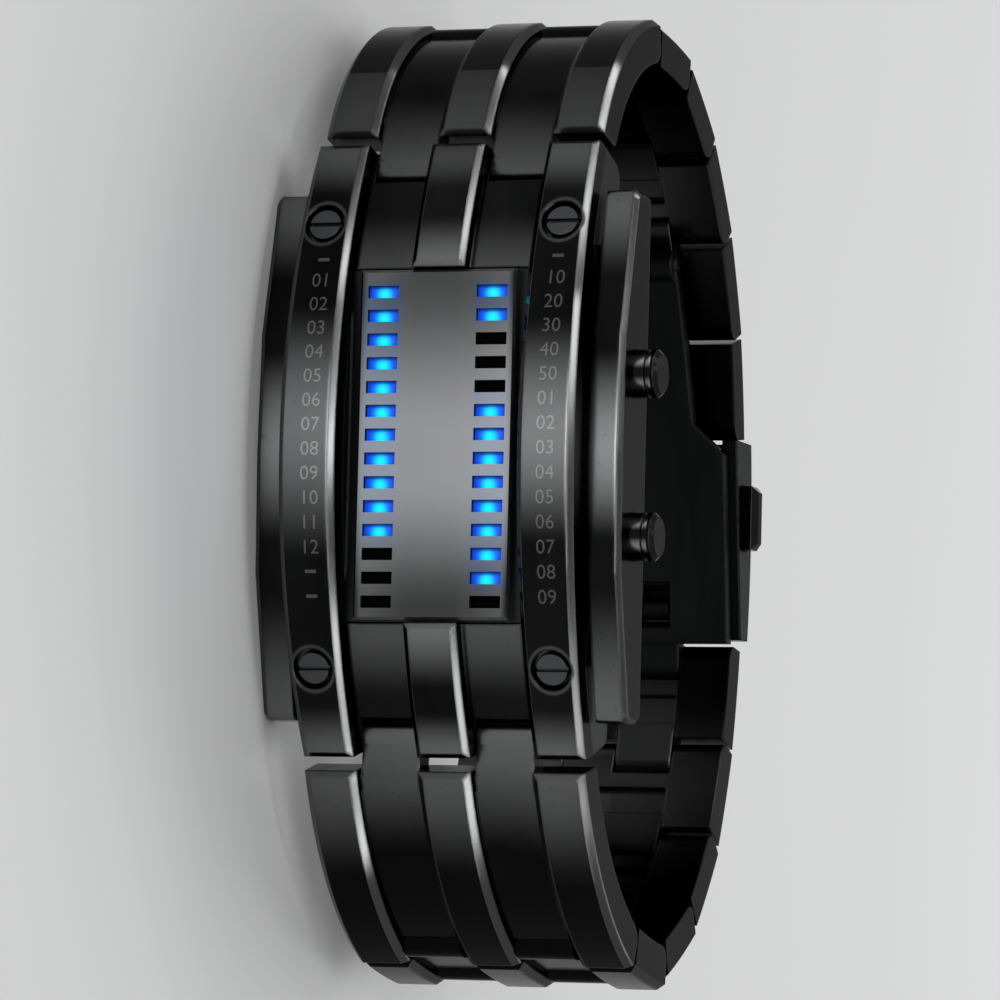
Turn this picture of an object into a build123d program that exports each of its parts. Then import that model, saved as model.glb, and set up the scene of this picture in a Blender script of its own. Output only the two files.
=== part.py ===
from build123d import *
from math import asin, atan2, cos, hypot, radians, sin, sqrt
import os

# Binary wristwatch with a steel bracelet and a folding clasp, in millimetres.
# X runs along the strap towards the lower half, Y runs from the dial to the wrist and Z runs
# across the strap. The origin is the middle of the left guard's outer face, level with the
# push-buttons, so the watch lies on its left side on the plane Z = 0.
# In the side view a point is (x, depth), where depth is measured inwards from the rails' crest.

# Head
guard_half_width = 13.7
crest_height = 6.2
rail_radius = 45.0
rail_half_length = 22.2
rail_thickness = 2.2
rail_inner = 6.8
rail_outer = 11.0
rail_end_narrowing = 0.42
rail_end_lean = 0.5
edge_bevel = 0.45
fine_bevel = 0.25
running_gap = 0.05
fixed_gap = 0.01
case_half_width = 10.55
lug_heel_inset = 1.0
lug_heel_round = 1.2
lug_wall_inset = 3.5
lug_wall_relief = 1.0
lug_wall_relief_depth = 2.0
overrun = 3.0

# Screws
rail_screw_inset = 6.2
rail_screw_lateral = 8.9
rail_screw_recess = 1.5
rail_screw_recess_depth = 0.95
rail_screw_head = 1.15
rail_screw_head_height = 0.8
rail_screw_shank = 0.6
rail_screw_grip = 1.8
screw_slot_width = 0.32
screw_slot_depth = 0.35
back_screw_margin = 1.5
back_screw_lateral = 7.9
back_screw_head = 0.85
back_screw_head_height = 0.5
back_screw_shank = 0.45
back_screw_length = 2.3

# Display and movement
display_half_length = 12.5
display_half_width = 5.84
display_depth = 2.29
glass_thickness = 1.0
glass_bevel = 0.5
pocket_gap = 0.1
seat_thickness = 0.9
row_count = 14
row_pitch = 1.714
column_lateral = 4.07
window_width = 2.12
window_height = 0.67
window_gap = 0.04
mask_thickness = 0.4
mask_margin = 0.14
led_setback = 0.1
board_gap = 1.0
board_thickness = 0.8
board_clearance = 0.2
cavity_half_width = 8.6
battery_radius = 8.0
battery_thickness = 3.2
battery_bevel = 0.3
battery_gap = 0.4
battery_space = 1.71

# Caseback
caseback_margin = 3.2
caseback_half_width = 9.6
caseback_corner = 2.4
caseback_recess = 1.0
caseback_proud = 0.2
gasket_width = 0.6
gasket_thickness = 0.3
gasket_inset = 0.3

# End pieces of the head
end_piece_gap = 0.1
end_bar_half_width = 2.0
end_field_outer = 6.5
end_field_drop = 1.4
end_field_inset = 2.9

# Guards
guard_thickness = 2.4
guard_shift = 0.5
guard_inset = 3.2
guard_crown_depth = 2.9
guard_break_x = 8.6
guard_break_depth = 3.2
guard_end_depth = 5.9
guard_back_inset = 2.1
guard_corner = 0.8
guard_bevel = 0.4
spacer_half_length = 15.0
spacer_front_depth = 5.6
spacer_margin = 0.4

# Push-buttons of the head
button_x = 5.8
button_radius = 1.72
button_proud = 2.0
button_groove_from_face = 1.0
button_groove = 0.25
button_dome = 0.35
button_inner_face = 1.35
button_travel = 0.7
stem_radius = 0.6
clip_radius = 1.05
clip_thickness = 0.2
stem_tail = 0.25
contact_thickness = 0.15
contact_width = 1.6
contact_gap = 0.15
contact_drop = 1.7
spring_wire = 0.11
spring_radius = 1.15
spring_turns = 3.0

# Bracelet
bracelet_half_width = 10.55
column_half_width = 2.0
column_inner_edge = 6.6
side_gap = 0.1
link_thickness = 3.2
pivot_cover = 1.75
between_drop = 0.9
knuckle_reach = 1.3
column_gap = 0.25
link_bevel = 0.5
relief_depth = 0.5
relief_margin = 1.3
link_pitch = 7.9
link_droop = 4.0
pin_radius = 0.5
pin_inset = 0.35
lug_pivot_inset = 1.9
lug_pivot_rise = 3.0
lug_knuckle = 1.25
end_link_gap = 1.0
bar_radius = 0.8
bar_tip_radius = 0.45
bar_tip_length = 0.8
bar_end_gap = 0.05
upper_arch_radius = 17.5
lower_arch_radius = 25.5
upper_arch_droop = 32.0
lower_arch_droop = 27.4
# Directions of the small links from the clasp back to the head, in degrees in the side view
upper_headings = (12.4, 26.2, 41.4, 58.5, 84.2)
lower_headings = (13.2, 26.2, 46.0, 67.7, 101.7)

# Clasp
ring_depth = 36.4
upper_clasp_inset = 16.6
lower_clasp_inset = 9.1
cover_half_width = 11.1
cover_thickness = 1.2
cover_rise = 2.5
cover_bow = 0.5
cover_end_gap = 1.9
cheek_thickness = 1.2
cheek_gap = 0.4
fold_end_setback = 2.3
fold_knuckle = 0.95
fold_pin = 0.45
fold_pivot_rise = 0.4
fold_half_width = 5.5
fold_knuckle_half_width = 3.4
fold_thickness = 1.0
fold_gap = 0.15
far_knuckle = 1.2
far_clearance = 0.3
far_share = 0.29
blade_thickness = 1.1
blade_bow = 0.75
blade_end_drop = 1.2
blade_half_width = 10.4
blade_far_half_width = 7.1
blade_mid_half_width = 8.0
blade_window_margin = 0.35
post_radius = 0.8
post_lateral = 7.4
post_top_gap = 1.2
clasp_button_x = 1.8
clasp_button_length = 4.9
clasp_button_height = 1.8
clasp_button_end = 12.4
clasp_button_travel = 0.6
clasp_button_round = 0.5
clasp_flange = 0.5

# Sizes that follow from the ones above
side_view = Plane(origin=(0, -crest_height, guard_half_width), x_dir=(1, 0, 0), z_dir=(0, 0, 1))
dial_view = Plane(origin=(0, -crest_height, guard_half_width), x_dir=(1, 0, 0), z_dir=(0, -1, 0))
mid_plane = Plane(origin=(0, 0, guard_half_width), z_dir=(0, 0, 1))
shoulder_radius = rail_radius - rail_thickness
rail_end_depth = rail_radius - sqrt(rail_radius**2 - rail_half_length**2)
lug_reach = rail_half_length - rail_end_lean
lug_front_depth = rail_radius - sqrt(shoulder_radius**2 - lug_reach**2)
glass_back = display_depth + glass_thickness
seat_back = glass_back + seat_thickness
mask_half_length = row_pitch * (row_count - 1) / 2 + window_height / 2 + mask_margin
mask_half_width = column_lateral + window_width / 2 + mask_margin
cavity_half_length = mask_half_length + board_clearance
caseback_half_length = cavity_half_length + caseback_margin
back_screw_x = cavity_half_length + back_screw_margin
board_front = glass_back + board_gap
battery_back = board_front + board_thickness + battery_space + battery_thickness
case_depth = battery_back + battery_gap + caseback_recess
lug_wall = rail_half_length - lug_wall_inset
rail_screw_x = rail_half_length - rail_screw_inset
end_field_reach = rail_half_length - end_field_inset
guard_half_length = rail_half_length - guard_inset
guard_back_depth = case_depth - guard_back_inset
lug_pivot_x = rail_half_length - lug_pivot_inset
lug_pivot_depth = case_depth - lug_pivot_rise
clasp_pivot_depth = lug_pivot_depth + ring_depth
upper_clasp_x = upper_clasp_inset - rail_half_length
lower_clasp_x = rail_half_length - lower_clasp_inset
guard_inner = guard_half_width - guard_thickness
upper_button_x = guard_shift - button_x
lower_button_x = guard_shift + button_x
button_bore = button_radius + running_gap
slot_inner = column_half_width + side_gap / 2
slot_outer = column_inner_edge - side_gap / 2
between_inner = column_half_width + side_gap
between_outer = column_inner_edge - side_gap
inner_cover = link_thickness - pivot_cover
column_start = knuckle_reach + column_gap
link_arch_radius = link_pitch / 2 / sin(radians(link_droop)) + pivot_cover
between_bands = ((-between_outer, -between_inner), (between_inner, between_outer))
column_bands = (
    (-bracelet_half_width, -column_inner_edge),
    (-column_half_width, column_half_width),
    (column_inner_edge, bracelet_half_width),
)

os.makedirs("parts", exist_ok=True)


def depth_plane(depth):
    """Plane parallel to the dial, this deep behind the rails' crest."""
    return dial_view.offset(-depth)


def in_space(point, lateral=0):
    """Place of a side view point, this far to the right of the middle plane."""
    return side_view.from_local_coords((point.X, point.Y, lateral))


def chain(start_x, headings, side):
    """Pivots of the small links in the side view, from the clasp back to the head."""
    pivots = [Vector(start_x, clasp_pivot_depth)]
    for heading in headings:
        step = Vector(side * link_pitch * cos(radians(heading)), link_pitch * sin(radians(heading)))
        pivots.append(pivots[-1] - step)
    pivots.append(Vector(-side * lug_pivot_x, lug_pivot_depth))
    return list(reversed(pivots))


upper_pivots = chain(upper_clasp_x, upper_headings, 1)
lower_pivots = chain(lower_clasp_x, lower_headings, -1)


def sector(centre, inner, outer, start, end):
    """Face between two arcs about one centre; angles in radians from the local v axis."""
    def on_arch(radius, angle):
        return (centre[0] + radius * sin(angle), centre[1] + radius * cos(angle))

    middle = (start + end) / 2
    with BuildSketch() as band:
        with BuildLine():
            ThreePointArc(on_arch(outer, start), on_arch(outer, middle), on_arch(outer, end))
            Line(on_arch(outer, end), on_arch(inner, end))
            ThreePointArc(on_arch(inner, end), on_arch(inner, middle), on_arch(inner, start))
            Line(on_arch(inner, start), on_arch(outer, start))
        make_face()
    return band.sketch


def arc_band(radius_front, radius_back, reach_front, reach_back):
    """Closed side outline between two arcs about the rails' centre, with leaning ends."""
    def point(x, radius):
        return (x, rail_radius - sqrt(radius**2 - x**2))

    front_left, front_right = point(-reach_front, radius_front), point(reach_front, radius_front)
    back_left, back_right = point(-reach_back, radius_back), point(reach_back, radius_back)
    with BuildSketch() as band:
        with BuildLine():
            ThreePointArc(front_left, point(0, radius_front), front_right)
            Line(front_right, back_right)
            ThreePointArc(back_right, point(0, radius_back), back_left)
            Line(back_left, front_left)
        make_face()
    return band.sketch


def screw_planes():
    """Planes square to the rails at their four screws, with the origin on the rails' front."""
    planes = []
    for lateral in (-rail_screw_lateral, rail_screw_lateral):
        for x in (-rail_screw_x, rail_screw_x):
            drop = sqrt(rail_radius**2 - x**2)
            outward = side_view.from_local_coords((x, rail_radius - drop, lateral))
            normal = Vector(x, -drop, 0)
            planes.append(Plane(origin=outward, x_dir=(0, 0, 1), z_dir=normal))
    return planes


def mirrored(source):
    """The same piece on the other side of the middle plane."""
    with BuildPart() as twin:
        mirror(source.part, about=mid_plane)
    return twin


def finish(piece, name):
    """Name a finished piece and write it."""
    piece.part.label = name
    export_step(piece.part, f"parts/{name}.step")


def outline_face(*points, corner=0):
    """Closed outline through these points, with all its corners rounded alike."""
    with BuildSketch() as outline:
        with BuildLine():
            Polyline(*points, close=True)
        make_face()
        if corner:
            fillet(outline.vertices(), corner)
    return outline.sketch


# Rails: arched bars with bright bevelled edges, one on each shoulder of the case
with BuildPart() as right_rail:
    with BuildSketch(side_view.offset(rail_inner)):
        add(arc_band(rail_radius, shoulder_radius, rail_half_length, lug_reach))
    extrude(amount=rail_outer - rail_inner)
    with BuildSketch(depth_plane(-overrun)):
        with BuildLine():
            ThreePointArc(
                (-rail_half_length, rail_outer - rail_end_narrowing),
                (0, rail_outer),
                (rail_half_length, rail_outer - rail_end_narrowing),
            )
            Polyline(
                (rail_half_length, rail_outer - rail_end_narrowing),
                (rail_half_length, 0),
                (-rail_half_length, 0),
                (-rail_half_length, rail_outer - rail_end_narrowing),
            )
        make_face()
    extrude(amount=-(overrun + case_depth), mode=Mode.INTERSECT)
    chamfer(right_rail.faces().sort_by(Axis.Y)[0].edges(), length=edge_bevel)
    for plane in screw_planes()[2:]:
        with BuildSketch(plane.offset(overrun)):
            Circle(rail_screw_recess)
        extrude(amount=-(overrun + rail_screw_recess_depth), mode=Mode.SUBTRACT)
        with BuildSketch(plane.offset(overrun)):
            Circle(rail_screw_shank + fixed_gap)
        extrude(amount=-(2 * overrun + rail_thickness), mode=Mode.SUBTRACT)
finish(right_rail, "right_rail")
left_rail = mirrored(right_rail)
finish(left_rail, "left_rail")


def gasket_face(gap):
    """Ring round the case's cavity, larger all round by the gap."""
    inner_length = cavity_half_length + gasket_inset - gap
    inner_width = cavity_half_width + gasket_inset - gap
    wall = gasket_width + 2 * gap
    with BuildSketch() as ring:
        Rectangle(2 * (inner_length + wall), 2 * (inner_width + wall))
        Rectangle(2 * inner_length, 2 * inner_width, mode=Mode.SUBTRACT)
    return ring.sketch


# Case body: arched shoulders, a flat seat for the display, three lugs at each end
with BuildPart() as case_body:
    with BuildSketch(side_view.offset(-case_half_width)):
        with BuildLine():
            ThreePointArc((-lug_reach, lug_front_depth), (0, rail_thickness), (lug_reach, lug_front_depth))
            Polyline(
                (lug_reach, lug_front_depth),
                (lug_reach - lug_heel_inset, case_depth),
                (lug_heel_inset - lug_reach, case_depth),
                (-lug_reach, lug_front_depth),
            )
        make_face()
    extrude(amount=2 * case_half_width)
    fillet(case_body.edges().filter_by(Axis.Z).group_by(Axis.Y)[-1], lug_heel_round)
    with BuildSketch(depth_plane(glass_back)):
        Rectangle(2 * (display_half_length + pocket_gap), 2 * rail_inner)
    extrude(amount=-seat_thickness)
    with BuildSketch(depth_plane(0)):
        Rectangle(2 * (display_half_length + pocket_gap), 2 * rail_inner)
    extrude(amount=-glass_back, mode=Mode.SUBTRACT)
    with BuildSketch(depth_plane(0)):
        Rectangle(2 * (mask_half_length + pocket_gap), 2 * (mask_half_width + pocket_gap))
    extrude(amount=-case_depth, mode=Mode.SUBTRACT)
    with BuildSketch(depth_plane(seat_back)):
        Rectangle(2 * cavity_half_length, 2 * cavity_half_width)
    extrude(amount=-case_depth, mode=Mode.SUBTRACT)
    with BuildSketch(depth_plane(case_depth - caseback_recess)):
        RectangleRounded(
            2 * (caseback_half_length + running_gap),
            2 * (caseback_half_width + running_gap),
            caseback_corner + running_gap,
        )
    extrude(amount=-case_depth, mode=Mode.SUBTRACT)
    with BuildSketch(depth_plane(case_depth - caseback_recess - gasket_thickness)):
        add(gasket_face(fixed_gap))
    extrude(amount=-gasket_thickness, mode=Mode.SUBTRACT)
    for side in (-1, 1):
        for band in ((-slot_outer, -slot_inner), (slot_inner, slot_outer)):
            with BuildSketch(side_view.offset(band[0])):
                add(
                    outline_face(
                        (side * lug_wall, 0),
                        (side * (lug_wall + 2 * overrun), 0),
                        (side * (lug_wall + 2 * overrun), case_depth + overrun),
                        (side * (lug_wall - lug_wall_relief), case_depth + overrun),
                        (side * (lug_wall - lug_wall_relief), case_depth),
                        (side * lug_wall, case_depth - lug_wall_relief_depth),
                    )
                )
            extrude(amount=band[1] - band[0], mode=Mode.SUBTRACT)
        with BuildSketch(side_view.offset(-slot_outer - bar_tip_length - running_gap)):
            with Locations((side * lug_pivot_x, lug_pivot_depth)):
                Circle(bar_tip_radius + running_gap)
        extrude(amount=2 * (slot_outer + bar_tip_length + running_gap), mode=Mode.SUBTRACT)
        with BuildSketch(side_view.offset(cavity_half_width)):
            with Locations((guard_shift + side * button_x, crest_height)):
                Circle(stem_radius + running_gap)
        extrude(amount=2 * overrun, mode=Mode.SUBTRACT)
    for plane in screw_planes():
        with BuildSketch(plane.offset(-rail_thickness)):
            Circle(rail_screw_shank + fixed_gap)
        extrude(amount=-(rail_screw_grip + fixed_gap), mode=Mode.SUBTRACT)
    with BuildSketch(depth_plane(case_depth - caseback_recess)):
        with GridLocations(2 * back_screw_x, 2 * back_screw_lateral, 2, 2):
            Circle(back_screw_shank + fixed_gap)
    extrude(amount=back_screw_length, mode=Mode.SUBTRACT)
finish(case_body, "case_body")

# Slotted screws of the rails, sunk in a ring-shaped recess
with BuildPart() as rail_screws:
    for plane in screw_planes():
        head_foot = plane.offset(-rail_screw_recess_depth)
        with BuildSketch(head_foot):
            Circle(rail_screw_head)
        extrude(amount=rail_screw_head_height)
        with BuildSketch(head_foot):
            Circle(rail_screw_shank)
        extrude(amount=-(rail_thickness - rail_screw_recess_depth + rail_screw_grip))
    for plane in screw_planes():
        slot_floor = plane.offset(rail_screw_head_height - rail_screw_recess_depth - screw_slot_depth)
        with BuildSketch(slot_floor):
            Rectangle(2 * rail_screw_recess, screw_slot_width)
        extrude(amount=overrun, mode=Mode.SUBTRACT)
finish(rail_screws, "rail_screws")

# End pieces: a raised centre bar in line with the rails between two sunk fields
with BuildPart() as lower_end_piece:
    with BuildSketch(side_view.offset(-end_field_outer)):
        add(arc_band(rail_radius - end_field_drop, shoulder_radius, end_field_reach, end_field_reach))
    extrude(amount=2 * end_field_outer)
    with BuildSketch(side_view.offset(-end_bar_half_width)):
        add(arc_band(rail_radius, shoulder_radius, rail_half_length, lug_reach))
    extrude(amount=2 * end_bar_half_width)
    with BuildSketch(depth_plane(-overrun)):
        with Locations((display_half_length + pocket_gap + end_piece_gap + rail_half_length, 0)):
            Rectangle(2 * rail_half_length, 2 * rail_outer)
    extrude(amount=-(overrun + case_depth), mode=Mode.INTERSECT)
    bar_front = max(
        lower_end_piece.faces().filter_by(GeomType.CYLINDER), key=lambda face: face.radius
    )
    chamfer(bar_front.edges(), edge_bevel)
finish(lower_end_piece, "lower_end_piece")
with BuildPart() as upper_end_piece:
    mirror(lower_end_piece.part, about=Plane.YZ)
finish(upper_end_piece, "upper_end_piece")


def guard_outline():
    """Side outline of a guard: a low crown, two falling ends and a straight back."""
    return outline_face(
        (guard_shift - guard_half_length, guard_end_depth),
        (guard_shift - guard_break_x, guard_break_depth),
        (guard_shift, guard_crown_depth),
        (guard_shift + guard_break_x, guard_break_depth),
        (guard_shift + guard_half_length, guard_end_depth),
        (guard_shift + guard_half_length, guard_back_depth),
        (guard_shift - guard_half_length, guard_back_depth),
    )


def guard_plate():
    """A side plate with its spacer, before the right one is bored for the push-buttons."""
    with BuildPart() as plate:
        with BuildSketch(side_view.offset(guard_inner)):
            add(guard_outline())
        extrude(amount=guard_thickness)
        fillet(plate.edges().filter_by(Axis.Z).group_by(Axis.X)[-1], guard_corner)
        fillet(plate.edges().filter_by(Axis.Z).group_by(Axis.X)[0], guard_corner)
        chamfer(plate.faces().sort_by(Axis.Z)[-1].edges(), guard_bevel)
        with BuildSketch(side_view.offset(case_half_width)):
            with Locations((guard_shift, (spacer_front_depth + guard_back_depth - spacer_margin) / 2)):
                Rectangle(
                    2 * spacer_half_length, guard_back_depth - spacer_margin - spacer_front_depth
                )
        extrude(amount=guard_inner - case_half_width)
    return plate


with BuildPart() as right_guard:
    add(guard_plate().part)
    with BuildSketch(side_view.offset(case_half_width)):
        with Locations((upper_button_x, crest_height), (lower_button_x, crest_height)):
            Circle(button_bore)
    extrude(amount=2 * guard_thickness, mode=Mode.SUBTRACT)
finish(right_guard, "right_guard")
left_guard = mirrored(guard_plate())
finish(left_guard, "left_guard")

# Display: bevelled glass, a mask with one window per light, lights and board
with BuildPart() as display_glass:
    with BuildSketch(depth_plane(glass_back)):
        Rectangle(2 * display_half_length, 2 * display_half_width)
    extrude(amount=glass_thickness)
    chamfer(display_glass.faces().sort_by(Axis.Y)[0].edges(), glass_bevel)
finish(display_glass, "display_glass")
with BuildPart() as display_mask:
    with BuildSketch(depth_plane(glass_back)):
        Rectangle(2 * mask_half_length, 2 * mask_half_width)
        with GridLocations(row_pitch, 2 * column_lateral, row_count, 2):
            Rectangle(window_height, window_width, mode=Mode.SUBTRACT)
    extrude(amount=-mask_thickness)
finish(display_mask, "display_mask")


def lights(lateral):
    """One column of lights that stand on the board and reach into the mask's windows."""
    with BuildPart() as column:
        with BuildSketch(depth_plane(glass_back + led_setback)):
            with Locations((0, lateral)):
                with GridLocations(row_pitch, 0, row_count, 1):
                    Rectangle(window_height - 2 * window_gap, window_width - 2 * window_gap)
        extrude(amount=-(board_gap - led_setback))
    return column


hour_leds = lights(-column_lateral)
finish(hour_leds, "hour_leds")
minute_leds = lights(column_lateral)
finish(minute_leds, "minute_leds")
with BuildPart() as circuit_board:
    with BuildSketch(depth_plane(board_front)):
        Rectangle(
            2 * (cavity_half_length - board_clearance), 2 * (cavity_half_width - board_clearance)
        )
    extrude(amount=-board_thickness)
finish(circuit_board, "circuit_board")
with BuildPart() as battery:
    with BuildSketch(depth_plane(battery_back)):
        Circle(battery_radius)
    extrude(amount=battery_thickness)
    chamfer(battery.faces().sort_by(Axis.Y)[0].edges(), battery_bevel)
finish(battery, "battery")

# Caseback with its gasket and four screws
with BuildPart() as caseback:
    with BuildSketch(depth_plane(case_depth - caseback_recess)):
        RectangleRounded(2 * caseback_half_length, 2 * caseback_half_width, caseback_corner)
    extrude(amount=-(caseback_recess + caseback_proud))
    chamfer(caseback.faces().sort_by(Axis.Y)[-1].edges(), fine_bevel)
    with BuildSketch(depth_plane(case_depth + caseback_proud)):
        with GridLocations(2 * back_screw_x, 2 * back_screw_lateral, 2, 2):
            Circle(back_screw_head + running_gap)
    extrude(amount=back_screw_head_height, mode=Mode.SUBTRACT)
    with BuildSketch(depth_plane(case_depth + caseback_proud)):
        with GridLocations(2 * back_screw_x, 2 * back_screw_lateral, 2, 2):
            Circle(back_screw_shank + fixed_gap)
    extrude(amount=2 * overrun, mode=Mode.SUBTRACT)
finish(caseback, "caseback")
with BuildPart() as caseback_gasket:
    with BuildSketch(depth_plane(case_depth - caseback_recess - gasket_thickness)):
        add(gasket_face(0))
    extrude(amount=-gasket_thickness)
finish(caseback_gasket, "caseback_gasket")
with BuildPart() as caseback_screws:
    with BuildSketch(depth_plane(case_depth + caseback_proud - back_screw_head_height)):
        with GridLocations(2 * back_screw_x, 2 * back_screw_lateral, 2, 2):
            Circle(back_screw_head)
    extrude(amount=-back_screw_head_height)
    with BuildSketch(depth_plane(case_depth + caseback_proud - back_screw_head_height)):
        with GridLocations(2 * back_screw_x, 2 * back_screw_lateral, 2, 2):
            Circle(back_screw_shank)
    extrude(amount=back_screw_length)
    with BuildSketch(depth_plane(case_depth + caseback_proud)):
        with GridLocations(2 * back_screw_x, 2 * back_screw_lateral, 2, 2):
            Rectangle(2 * back_screw_head, screw_slot_width)
    extrude(amount=back_screw_head_height / 2, mode=Mode.SUBTRACT)
finish(caseback_screws, "caseback_screws")


def push_button(x):
    """A grooved cap on a stem that runs through the case wall."""
    outer = guard_half_width + button_proud
    groove_out = guard_half_width + button_groove_from_face
    inner = case_half_width + button_inner_face
    tip = cavity_half_width - stem_tail - clip_thickness
    with BuildPart() as button:
        with BuildSketch(side_view.offset(inner)):
            with Locations((x, crest_height)):
                Circle(button_radius)
        extrude(amount=outer - inner)
        chamfer(button.faces().sort_by(Axis.Z)[-1].edges(), button_dome)
        with BuildSketch(side_view.offset(groove_out)):
            with Locations((x, crest_height)):
                Circle(button_radius + overrun)
                Circle(button_radius - button_groove, mode=Mode.SUBTRACT)
        extrude(amount=button_groove, mode=Mode.SUBTRACT)
        with BuildSketch(side_view.offset(tip)):
            with Locations((x, crest_height)):
                Circle(stem_radius)
        extrude(amount=inner - tip)
    return button


def stem_clip(x):
    """The ring that keeps a push-button's stem in the case."""
    with BuildPart() as clip:
        with BuildSketch(side_view.offset(cavity_half_width - stem_tail / 2 - clip_thickness)):
            with Locations((x, crest_height)):
                Circle(clip_radius)
                Circle(stem_radius + fixed_gap, mode=Mode.SUBTRACT)
        extrude(amount=clip_thickness)
    return clip


def stem_spring(x):
    """A short coil round the stem, between the case wall and the cap."""
    height = button_inner_face - 2 * spring_wire - 2 * fixed_gap
    start = side_view.offset(case_half_width + spring_wire + fixed_gap)
    start.origin = start.from_local_coords((x, crest_height, 0))
    with BuildPart() as spring:
        with BuildLine(start) as coil:
            Helix(pitch=height / spring_turns, height=height, radius=spring_radius)
        with BuildSketch(Plane(origin=coil.line @ 0, z_dir=coil.line % 0)):
            RegularPolygon(spring_wire, side_count=6)
        sweep(is_frenet=True)
    return spring


upper_button = push_button(upper_button_x)
finish(upper_button, "upper_button")
lower_button = push_button(lower_button_x)
finish(lower_button, "lower_button")
upper_button_clip = stem_clip(upper_button_x)
finish(upper_button_clip, "upper_button_clip")
lower_button_clip = stem_clip(lower_button_x)
finish(lower_button_clip, "lower_button_clip")
upper_button_spring = stem_spring(upper_button_x)
finish(upper_button_spring, "upper_button_spring")
lower_button_spring = stem_spring(lower_button_x)
finish(lower_button_spring, "lower_button_spring")
with BuildPart() as button_contacts:
    contact_lateral = cavity_half_width - stem_tail - clip_thickness - button_travel - contact_gap
    with BuildSketch(depth_plane(board_front + board_thickness)):
        with Locations((upper_button_x, contact_lateral), (lower_button_x, contact_lateral)):
            Rectangle(contact_width, contact_thickness)
    extrude(amount=-contact_drop)
finish(button_contacts, "button_contacts")


def link_plane(near, far, side):
    """Plane of a link's side view: u from its near to its far pivot, v away from the wrist."""
    near_point, far_point = in_space(near), in_space(far)
    return Plane(origin=near_point, x_dir=far_point - near_point, z_dir=(0, 0, side))


def arch_centre(length, droop, radius):
    """Centre of a link's arcs, so that its far end leans by the droop."""
    reach = radius - pivot_cover
    return (length - reach * sin(droop), -reach * cos(droop))


def column(plane, band, centre, radius, start, end, clearance):
    """One raised column of a link, with bevels round its outer face."""
    with BuildPart() as bar:
        with BuildSketch(plane.offset(band[0])):
            add(sector(centre, radius - link_thickness, radius, start, end))
        extrude(amount=band[1] - band[0])
        if clearance:
            with BuildSketch(side_view.offset(-bracelet_half_width - overrun)):
                add(clearance)
            extrude(amount=2 * (bracelet_half_width + overrun), mode=Mode.SUBTRACT)
        crown = max(bar.faces().filter_by(GeomType.CYLINDER), key=lambda face: face.radius)
        chamfer(crown.edges(), link_bevel)
    return bar.part


def far_round(radius):
    """Corner cut that leaves the inner half of a column's far end round about its pivot."""
    with BuildSketch() as corner:
        with Locations((overrun / 2, -overrun / 2)):
            Rectangle(overrun, overrun)
        Circle(radius, mode=Mode.SUBTRACT)
    return corner.sketch


def bracelet_link(near, far, side, arch_radius, droop, near_knuckle, bore_radius, clearance):
    """Three raised columns on a lower body, with two knuckles that reach back to the near pivot."""
    length = (far - near).length
    plane = link_plane(near, far, side)
    centre = arch_centre(length, radians(droop), arch_radius)
    pivot_radius = arch_radius - pivot_cover
    near_angle = atan2(-centre[0], -centre[1])
    near_radius = hypot(centre[0], centre[1])
    far_angle = radians(droop)
    start = near_angle + column_start / near_radius
    end = far_angle + asin(knuckle_reach / pivot_radius)
    body_start = start if not clearance else near_angle + 2 * near_knuckle / near_radius
    body_end = far_angle - column_start / pivot_radius
    between = arch_radius - between_drop
    inner = arch_radius - link_thickness
    lean = Plane(
        origin=plane.from_local_coords((length, 0, 0)),
        x_dir=plane.x_dir.rotate(Axis(plane.origin, plane.z_dir), -droop),
        z_dir=plane.z_dir,
    )
    with BuildPart() as link:
        for band in column_bands:
            add(column(plane, band, centre, arch_radius, start, end, clearance))
        with BuildSketch(lean.offset(-bracelet_half_width)):
            add(far_round(inner_cover))
        extrude(amount=2 * bracelet_half_width, mode=Mode.SUBTRACT)
        core_start = start if not clearance else near_angle + 2 * column_start / near_radius
        with BuildSketch(plane.offset(-column_inner_edge - relief_depth)):
            add(sector(centre, inner, between, core_start + fixed_gap, body_end))
        extrude(amount=2 * (column_inner_edge + relief_depth))
        with BuildSketch(plane.offset(-between_outer)):
            add(knuckle_face(centre, inner, between, body_start, core_start, near_knuckle))
        extrude(amount=between_outer - between_inner)
        with BuildSketch(plane.offset(between_inner)):
            add(knuckle_face(centre, inner, between, body_start, core_start, near_knuckle))
        extrude(amount=between_outer - between_inner)
        relief = relief_margin / pivot_radius
        with BuildSketch(plane.offset(-between_outer)):
            add(sector(centre, inner - overrun, inner + relief_depth, core_start + relief, body_end - relief))
        extrude(amount=2 * between_outer, mode=Mode.SUBTRACT)
        with BuildSketch(plane.offset(-between_outer - side_gap / 2)):
            Circle(bore_radius)
        extrude(amount=2 * between_outer + side_gap, mode=Mode.SUBTRACT)
        with BuildSketch(lean.offset(-bracelet_half_width + pin_inset)):
            Circle(pin_radius + fixed_gap)
        extrude(amount=2 * (bracelet_half_width - pin_inset), mode=Mode.SUBTRACT)
    return link


def knuckle_face(centre, inner, outer, body_start, body_end, radius):
    """Side face of a knuckle: round about the near pivot and joined to the link's body."""
    def on_arch(arch, angle):
        return (centre[0] + arch * sin(angle), centre[1] + arch * cos(angle))

    with BuildSketch() as face:
        Circle(radius)
        add(outline_face((0, radius), on_arch(outer, body_start), on_arch(inner, body_start), (0, -radius)))
        add(sector(centre, inner, outer, body_start, body_end + fixed_gap))
    return face.sketch


def head_clearance(side):
    """Side view area that the end links leave to the lugs."""
    slope = rail_end_lean / (lug_front_depth - rail_end_depth)
    reach = rail_half_length + end_link_gap
    top, bottom = 0, case_depth + overrun
    return outline_face(
        (0, top),
        (-side * (reach + slope * rail_end_depth), top),
        (-side * (reach + slope * (rail_end_depth - bottom)), bottom),
        (0, bottom),
    )


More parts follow.
